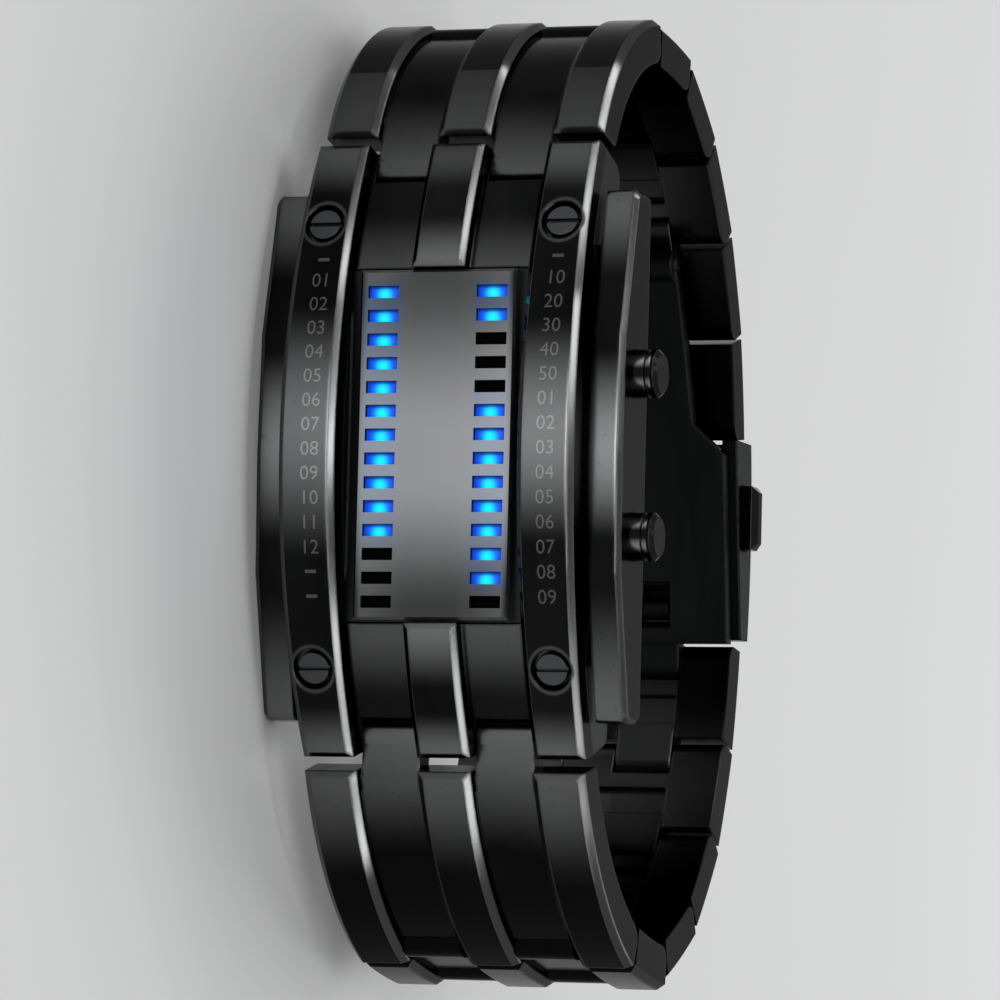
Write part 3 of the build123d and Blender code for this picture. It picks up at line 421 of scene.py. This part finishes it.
def board_material():
    """Green circuit board with copper coloured tracks; tracks are bands of a squeezed noise."""
    board = Material("circuit_board_green", Coat_Weight=0.3)
    tracks = board.noise(420.0, (0.25, 1.0, 1.0), detail=1.0)
    line = tracks.ramp(0.52, 0.54) * (1 - tracks.ramp(0.56, 0.58))
    board.drive(
        Base_Color=board.mix(line, (0.01, 0.07, 0.03, 1.0), (0.32, 0.17, 0.05, 1.0)),
        Roughness=0.5 - line * 0.2,
        Metallic=line * 0.8,
    )
    return board.material


def floor_material():
    """Pale matt floor with a barely uneven surface; past its edge it takes the room's shade."""
    floor = Material("pale_floor", Roughness=0.9)
    cloud = floor.noise(6.0, detail=3.0)
    floor.drive(Base_Color=floor.mix(cloud, grey(0.72, 0.004), grey(0.78, 0.004)))
    return floor.material


# Painted reflections along the rails, as (middle, half width, gain) in millimetres: bands at the
# ends and one in the middle, which the etched figures follow too.
rail_ends = [(-21.5, 3.2, 0.26), (22.0, 3.5, 0.36)]
left_light = (-0.8, 9.5, 0.75)
right_light = (-0.8, 8.4, 0.78)
left_black = black_steel(
    "black_steel_left", 0.005, 0.12, 0.12, pale=rail_ends + [left_light],
    recesses=[(-SCREW_ALONG, MIDDLE - RAIL_MIDDLE), (SCREW_ALONG, MIDDLE - RAIL_MIDDLE)],
)
right_black = black_steel(
    "black_steel_right", 0.005, 0.12, 0.12, pale=rail_ends + [right_light],
    recesses=[(-SCREW_ALONG, MIDDLE + RAIL_MIDDLE), (SCREW_ALONG, MIDDLE + RAIL_MIDDLE)],
)
# Painted reflections on the end pieces and their sunk fields.
end_black = black_steel(
    "black_steel_ends", 0.005, 0.12, 0.12,
    pale=[(-13.0, 4.0, 0.5), (-21.2, 2.4, 0.16), (12.8, 4.6, 0.5), (21.8, 2.8, 0.36)],
    fields=[(-12.6, 4.8, 0.2), (12.8, 5.2, 0.24)],
)
# Painted reflections on the links and their sunk fields, mostly left off past the brinks.
link_black = black_steel(
    "black_steel_links", 0.003, 0.12, 0.12, brinks=(-28.1, 30.8),
    pale=[(-22.0, 11.0, 0.18), (23.2, 7.6, 0.29)],
    fields=[(-19.2, 7.2, 0.27), (20.0, 9.0, 0.37)],
)
black_satin = black_steel("black_steel_satin", 0.025, 0.12, 0.2, brushed=0.06)
# Painted reflections on the guards: pale bands along the strap.
guard_black = black_steel(
    "black_steel_guard", 0.005, 0.1, 0.1,
    pale=[(-17.5, 5.5, 0.34), (0.0, 7.0, 0.95), (19.0, 9.0, 0.36)],
)
screw_black = black_steel("black_steel_screw", 0.08, 0.12, 0.16, wear=0.8, rounding=0.08)
# Painted highlight streaks on either side of each button's axis, cut by a dark line at the groove.
button_black = black_steel(
    "black_steel_button", 0.005, 0.03, 0.1, rings=[28.95], rounding=0.1,
    pale=[
        (centre + side * 0.85, 0.6, gain)
        for centre in (-5.3, 6.3)
        for side, gain in ((-1, 1.0), (1, 0.6))
    ],
)
blade_black = black_steel("black_steel_blade", 0.024, 0.05, 0.28, brushed=0.1)
brushed_steel = bare_steel("brushed_steel", 0.5, 0.22, (1.0, 1.0, 0.04))
pin_steel = bare_steel("pin_steel", 0.42, 0.18, (1.0, 1.0, 0.04))
spring_steel = bare_steel("spring_steel", 0.5, 0.15)
brass = Material("contact_brass", Metallic=1.0)
brass.drive(
    Base_Color=brass.mix(brass.noise(500.0), (0.6, 0.36, 0.1, 1.0), (0.75, 0.5, 0.18, 1.0)),
    Roughness=brass.noise(900.0, (0.1, 1.0, 1.0)) * 0.2 + 0.2,
)
mask_black = dark_plastic("mask_black", 0.008, 0.45, gloss=0.25)
seal_black = dark_plastic("seal_rubber", 0.02, 0.7, 0.0)
lens_dark = dark_plastic("dark_lens", 0.001, 0.4, gloss=0.02)
plate_grey = plate_material()
glass_edge = rim_material()
window_light = glow_material()
left_etched = etched_material("etched_grey_left", left_light)
right_etched = etched_material("etched_grey_right", right_light)

finishes = {
    "case_body": black_satin,
    "left_rail": left_black,
    "right_rail": right_black,
    "rail_screws": screw_black,
    "upper_end_piece": end_black,
    "lower_end_piece": end_black,
    "left_guard": guard_black,
    "right_guard": guard_black,
    "display_mask": mask_black,
    "hour_leds": lens_dark,
    "minute_leds": lens_dark,
    "circuit_board": board_material(),
    "battery": bare_steel("cell_steel", 0.55, 0.25),
    "caseback": brushed_steel,
    "caseback_gasket": seal_black,
    "caseback_screws": pin_steel,
    "button_contacts": brass.material,
    "upper_button": button_black,
    "lower_button": button_black,
    "clasp_cover": black_satin,
    "clasp_left_button": button_black,
    "clasp_right_button": button_black,
    "clasp_middle_blade": blade_black,
    "clasp_inner_blade": blade_black,
    "clasp_springs": brass.material,
}
for name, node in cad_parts.items():
    if "_link_" in name:
        finish = link_black
    elif "_pin_" in name or name.endswith("_pin") or "bars" in name:
        finish = pin_steel
    elif name.endswith("_spring") or name.endswith("_clip"):
        finish = spring_steel
    else:
        finish = finishes.get(name, mask_black)
    node.data.materials.clear()
    node.data.materials.append(finish)


# New pieces


def make_piece(name, points, faces, material, body, maps=None, smooth=False):
    """Puts an array of points and a list of faces into a mesh that rides on a body."""
    mesh = bpy.data.meshes.new(name)
    mesh.from_pydata(points.tolist(), [], faces.tolist() if hasattr(faces, "tolist") else faces)
    if maps is not None:
        layer = mesh.uv_layers.new(name="window")
        corners = np.zeros(len(mesh.loops), int)
        mesh.loops.foreach_get("vertex_index", corners)
        layer.data.foreach_set("uv", maps[corners].astype(np.float32).ravel())
    mesh.polygons.foreach_set("use_smooth", [smooth] * len(mesh.polygons))
    mesh.materials.append(material)
    piece = bpy.data.objects.new(name, mesh)
    bpy.context.scene.collection.objects.link(piece)
    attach(piece, body)
    return piece


def crest_depth(x):
    """Depth of the rails' front behind their crest: R - sqrt(R^2 - x^2)."""
    return RAIL_RADIUS - np.sqrt(RAIL_RADIUS**2 - x**2)


def display_plate(back):
    """Mirror plate with a bevelled rim and one sunk opening per light.

    The plate is a grid of cells between sorted lines along and across the strap. Points on
    the outer lines lie deeper by the bevel. Cells of the openings are left out, and each
    opening gets four walls down to its floor.
    """
    low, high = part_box("display_glass")
    front = low.y
    bevel = PLATE_BEVEL
    floor = front + WINDOW_DEPTH
    rows = (np.arange(ROWS) - (ROWS - 1) / 2) * ROW_PITCH + ROW_SHIFT
    along = np.sort(np.concatenate([
        [low.x, low.x + bevel, high.x - bevel, high.x],
        rows - WINDOW_HALF_HEIGHT,
        rows + WINDOW_HALF_HEIGHT,
    ]))
    across = np.sort(np.concatenate([
        [low.z, low.z + bevel, high.z - bevel, high.z],
        [
            MIDDLE + side * (COLUMN + half)
            for side in (-1, 1)
            for half in (-WINDOW_HALF_WIDTH, WINDOW_HALF_WIDTH)
        ],
    ]))
    x, z = np.meshgrid(along, across, indexing="ij")
    rim = (x == along[0]) | (x == along[-1]) | (z == across[0]) | (z == across[-1])
    top = np.stack([x, np.where(rim, front + bevel, front), z], -1).reshape(-1, 3)
    count_across = len(across)
    i, j = np.meshgrid(np.arange(len(along) - 1), np.arange(count_across - 1), indexing="ij")
    centre_x = (along[:-1] + along[1:]) / 2
    centre_z = (across[:-1] + across[1:]) / 2
    in_row = np.min(np.abs(centre_x[:, None] - rows[None, :]), axis=1) < WINDOW_HALF_HEIGHT
    in_column = np.abs(np.abs(centre_z - MIDDLE) - COLUMN) < WINDOW_HALF_WIDTH
    open_cell = in_row[:, None] & in_column[None, :]
    corner = i * count_across + j
    quads = np.stack([corner, corner + count_across, corner + count_across + 1, corner + 1], -1)
    solid = quads[~open_cell]
    holes = quads[open_cell]
    sunk = top[holes].copy()
    sunk[..., 1] = floor
    first = len(top) + 4 * np.arange(len(holes))[:, None] + np.arange(4)[None, :]
    walls = np.stack([holes, first, np.roll(first, -1, 1), np.roll(holes, -1, 1)], -1).reshape(-1, 4)
    border = np.concatenate([
        np.arange(count_across),
        count_across * np.arange(1, len(along)) + count_across - 1,
        count_across * (len(along) - 1) + np.arange(count_across - 2, -1, -1),
        count_across * np.arange(len(along) - 2, 0, -1),
    ])
    skirt = top[border].copy()
    skirt[:, 1] = back
    start = len(top) + sunk.reshape(-1, 3).shape[0]
    lower = start + np.arange(len(border))
    sides = np.stack([border, lower, np.roll(lower, -1), np.roll(border, -1)], -1)
    points = np.concatenate([top, sunk.reshape(-1, 3), skirt])
    faces = np.concatenate([solid, walls, sides])
    piece = make_piece("display_plate", points, faces, plate_grey, "head")
    piece.data.materials.append(mask_black)
    piece.data.materials.append(glass_edge)
    kinds = np.zeros(len(faces), int)
    kinds[len(solid):len(solid) + len(walls)] = 1
    kinds[len(solid) + len(walls):] = 2
    solid_rim = rim.reshape(-1)[solid].any(axis=1)
    kinds[:len(solid)][solid_rim] = 2
    piece.data.polygons.foreach_set("material_index", kinds)
    piece.data.validate()
    return piece, sunk


def window_lenses(corners, lit, name, material):
    """Slightly domed lenses on the floors of the openings, each with its own map.

    A lens is a grid over the opening with a rise of (1 - u^2)(1 - v^2) times its height.
    """
    steps = LENS_STEPS
    u, v = np.meshgrid(np.linspace(-1, 1, steps + 1), np.linspace(-1, 1, steps + 1), indexing="ij")
    chosen = corners[lit]
    centre = chosen.mean(axis=1)
    half = (chosen.max(axis=1) - chosen.min(axis=1)) / 2
    x = centre[:, 0, None, None] - v * half[:, 0, None, None]
    z = centre[:, 2, None, None] + u * half[:, 2, None, None]
    y = centre[:, 1, None, None] - LENS_RISE * (1 - u**2) * (1 - v**2)
    points = np.stack([x, np.broadcast_to(y, x.shape), z], -1).reshape(-1, 3)
    maps = np.broadcast_to(np.stack([u, v], -1), x.shape + (2,)).reshape(-1, 2)
    i, j = np.meshgrid(np.arange(steps), np.arange(steps), indexing="ij")
    cell = (i * (steps + 1) + j).ravel()
    quad = np.stack([cell, cell + 1, cell + steps + 2, cell + steps + 1], -1)
    faces = (quad[None] + (np.arange(len(chosen)) * (steps + 1) ** 2)[:, None, None]).reshape(-1, 4)
    return make_piece(name, points, faces, material, "head", maps, smooth=True)


glass_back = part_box("display_glass")[1].y
plate, openings = display_plate(glass_back)
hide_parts("display_glass")
row_places = openings[:, :, 0].mean(axis=1) - ROW_SHIFT
row_of = np.round(row_places / ROW_PITCH + (ROWS - 1) / 2).astype(int)
on_right = openings[:, :, 2].mean(axis=1) > MIDDLE
lit = np.where(on_right, np.isin(row_of, LIT_RIGHT_ROWS), row_of < LIT_LEFT_ROWS)
window_lenses(openings, lit, "lit_windows", window_light)
window_lenses(openings, ~lit, "dark_windows", lens_dark)


def etched_labels(name, labels, side):
    """Figures lying on a rail's arched front, one beside each row of windows.

    Each figure is laid out flat, then every point keeps its distance along and across the
    strap and drops by the depth of the arch there, less a hair's breadth.
    """
    points, faces, count = [], [], 0
    for row, label in labels:
        curve = bpy.data.curves.new(name, "FONT")
        curve.body = label
        curve.size = FIGURE_HEIGHT
        curve.space_character = 1.02
        curve.align_x = "CENTER"
        curve.align_y = "CENTER"
        curve.resolution_u = 4
        text = bpy.data.objects.new(name, curve)
        flat = bpy.data.meshes.new_from_object(text)
        place = np.zeros(len(flat.vertices) * 3)
        flat.vertices.foreach_get("co", place)
        place = place.reshape(-1, 3)
        height = place[:, 1] - (place[:, 1].max() + place[:, 1].min()) / 2
        x = (row - (ROWS - 1) / 2) * FIGURE_PITCH + FIGURE_SHIFT - height
        points.append(np.stack([
            x,
            crest_depth(x) - CREST - FIGURE_RISE,
            MIDDLE + side * RAIL_MIDDLE + FIGURES_ASIDE[side] + place[:, 0],
        ], -1))
        faces += [[count + v for v in polygon.vertices] for polygon in flat.polygons]
        count += len(place)
        bpy.data.objects.remove(text)
    finish = left_etched if side < 0 else right_etched
    piece = make_piece(name, np.concatenate(points), faces, finish, "head")
    return piece


def tick_marks(name, rows, side):
    """Small plain bars in the rows that carry no figure."""
    half_length, half_width = MARK_HALF_LENGTH, MARK_HALF_WIDTH
    x0 = (np.array(rows) - (ROWS - 1) / 2) * FIGURE_PITCH + FIGURE_SHIFT
    x = x0[:, None] + half_length * np.array([-1, 1, 1, -1])
    middle = MIDDLE + side * RAIL_MIDDLE + FIGURES_ASIDE[side]
    z = middle + half_width * np.array([-1, -1, 1, 1]) + 0 * x
    points = np.stack([x, crest_depth(x) - CREST - FIGURE_RISE, z], -1).reshape(-1, 3)
    faces = np.arange(len(points)).reshape(-1, 4)
    finish = left_etched if side < 0 else right_etched
    piece = make_piece(name, points, faces, finish, "head")
    return piece


etched_labels("hour_figures", [(row, f"{row + 1:02d}") for row in range(12)], -1)
tick_marks("hour_marks", [-0.87, 12, 13], -1)
tens = [(row, str(10 * (row + 1))) for row in range(5)]
etched_labels("minute_figures", tens + [(row + 4, f"{row:02d}") for row in range(1, 10)], 1)
tick_marks("minute_marks", [-0.9], 1)


def spring_coil(which):
    """Round-wire coil in place of a button's spring.

    Wire: ((R + w cos f) cos a, (R + w cos f) sin a, rise a / (2 pi turns) + w sin f).
    """
    low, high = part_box(f"{which}_button_spring")
    wire = SPRING_WIRE
    radius = (high.x - low.x) / 2 - wire
    rise = high.z - low.z - 2 * wire
    a, f = np.meshgrid(
        np.linspace(0, 2 * np.pi * SPRING_TURNS, COIL_STEPS + 1),
        np.linspace(0, 2 * np.pi, WIRE_SIDES, endpoint=False),
        indexing="ij",
    )
    reach = radius + wire * np.cos(f)
    points = np.stack([
        (low.x + high.x) / 2 + reach * np.cos(a),
        (low.y + high.y) / 2 + reach * np.sin(a),
        low.z + wire + rise * a / (2 * np.pi * SPRING_TURNS) + wire * np.sin(f),
    ], -1).reshape(-1, 3)
    i, j = np.meshgrid(np.arange(COIL_STEPS), np.arange(WIRE_SIDES), indexing="ij")
    turned = (j + 1) % WIRE_SIDES
    start, end = i * WIRE_SIDES, (i + 1) * WIRE_SIDES
    sides = np.stack([start + j, end + j, end + turned, start + turned], -1).reshape(-1, 4).tolist()
    first_end = list(range(WIRE_SIDES))
    last_end = [COIL_STEPS * WIRE_SIDES + side for side in reversed(first_end)]
    faces = sides + [first_end, last_end]
    coil = make_piece(f"{which}_button_coil", points, faces, spring_steel, "head", smooth=True)
    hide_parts(f"{which}_button_spring")
    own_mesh(coil)


spring_coil("upper")
spring_coil("lower")


# Floor, light and camera


def stage_floor():
    """A large round floor under the watch's left side, made of one ring of faces."""
    angle = np.linspace(0, 2 * np.pi, FLOOR_SIDES, endpoint=False)
    across, along = FLOOR_RADIUS * np.cos(angle), FLOOR_RADIUS * np.sin(angle)
    points = np.stack([across, along, -FLOOR_DROP + 0 * angle], -1)
    mesh = bpy.data.meshes.new("floor")
    mesh.from_pydata(points.tolist(), [], [list(range(FLOOR_SIDES))])
    mesh.materials.append(floor_material())
    floor = bpy.data.objects.new("floor", mesh)
    bpy.context.scene.collection.objects.link(floor)


def softbox(name, place, aim, size, power, turn=0.0):
    """A rectangular lamp that faces a point, turned in its own plane by some degrees."""
    lamp = bpy.data.lights.new(name, "AREA")
    lamp.shape = "RECTANGLE"
    lamp.size, lamp.size_y = size
    lamp.energy = power
    holder = bpy.data.objects.new(name, lamp)
    bpy.context.scene.collection.objects.link(holder)
    holder.location = place
    facing = (Vector(aim) - Vector(place)).to_track_quat("-Z", "Y").to_matrix()
    holder.rotation_euler = (facing @ Matrix.Rotation(radians(turn), 3, "Z")).to_euler()


stage_floor()
centre = (0.0, 0.01, MIDDLE)
softbox("back", (0.0, 0.4, 0.4), (0.0, 0.2, 0.0), (0.5, 0.3), 1.0)
softbox("side", (-0.06, -0.17, 0.48), centre, (0.35, 0.02), 0.18)
# Two thin strips, turned so that the links' bevels mirror them along their whole length.
softbox("upper_glint", (-0.34, 0.02, 0.4), (-0.02, 0.0, MIDDLE), (0.45, 0.02), 0.2, turn=40.0)
softbox("lower_glint", (0.25, -0.07, 0.45), (0.02, 0.0, MIDDLE), (0.45, 0.02), 0.2, turn=-34.0)
softbox("front", (0.0, -0.5, 0.35), (0.0, -0.05, 0.0), (0.4, 0.2), 1.0)
softbox("wrist", (0.1, 0.5, 0.3), (0.0, 0.02, MIDDLE), (0.3, 0.12), 0.25)

world = bpy.data.worlds.new("room")
world.use_nodes = True
bpy.context.scene.world = world
room = world.node_tree
shade = room.nodes["Background"]
shade.inputs["Color"].default_value = (1.0, 1.0, 1.0, 1.0)
shade.inputs["Strength"].default_value = 0.3
white = room.nodes.new("ShaderNodeBackground")
white.inputs["Strength"].default_value = 0.9
path = room.nodes.new("ShaderNodeLightPath")
chooser = room.nodes.new("ShaderNodeMixShader")
room.links.new(path.outputs["Is Camera Ray"], chooser.inputs[0])
room.links.new(shade.outputs[0], chooser.inputs[1])
room.links.new(white.outputs[0], chooser.inputs[2])
room.links.new(chooser.outputs[0], room.nodes["World Output"].inputs["Surface"])

# The camera stands where the photograph was taken from; its picture's up is the strap's minus X.
azimuth, elevation, roll = radians(18.0), radians(-4.736), radians(1.399)
distance, focal_pixels = 416.55 * MM, 5901.7
aside, above = 5.495 * MM, -4.031 * MM
eye = Vector((
    distance * cos(elevation) * sin(azimuth),
    -distance * cos(elevation) * cos(azimuth),
    distance * sin(elevation),
))
forward = -eye.normalized()
right = forward.cross(Vector((0, 0, 1))).normalized()
up = right.cross(forward)
eye += right * aside + up * above
turned_right = right * cos(roll) + up * sin(roll)
turned_up = up * cos(roll) - right * sin(roll)


def to_frame(vector):
    """From the photograph's axes (right, away, up) to the part's axes."""
    return Vector((-vector.z, vector.y, vector.x))


lens = bpy.data.cameras.new("camera")
lens.sensor_width = 36.0
lens.sensor_fit = "HORIZONTAL"
lens.lens = focal_pixels / 1000 * 36.0
lens.clip_start = 0.01
lens.clip_end = 20.0
camera = bpy.data.objects.new("camera", lens)
bpy.context.scene.collection.objects.link(camera)
axes = Matrix([to_frame(turned_right), to_frame(turned_up), to_frame(-forward)]).transposed()
camera.matrix_world = Matrix.Translation(to_frame(eye) + Vector((0, -CREST, MIDDLE))) @ axes.to_4x4()
bpy.context.scene.camera = camera
bpy.context.scene.view_settings.view_transform = "Standard"
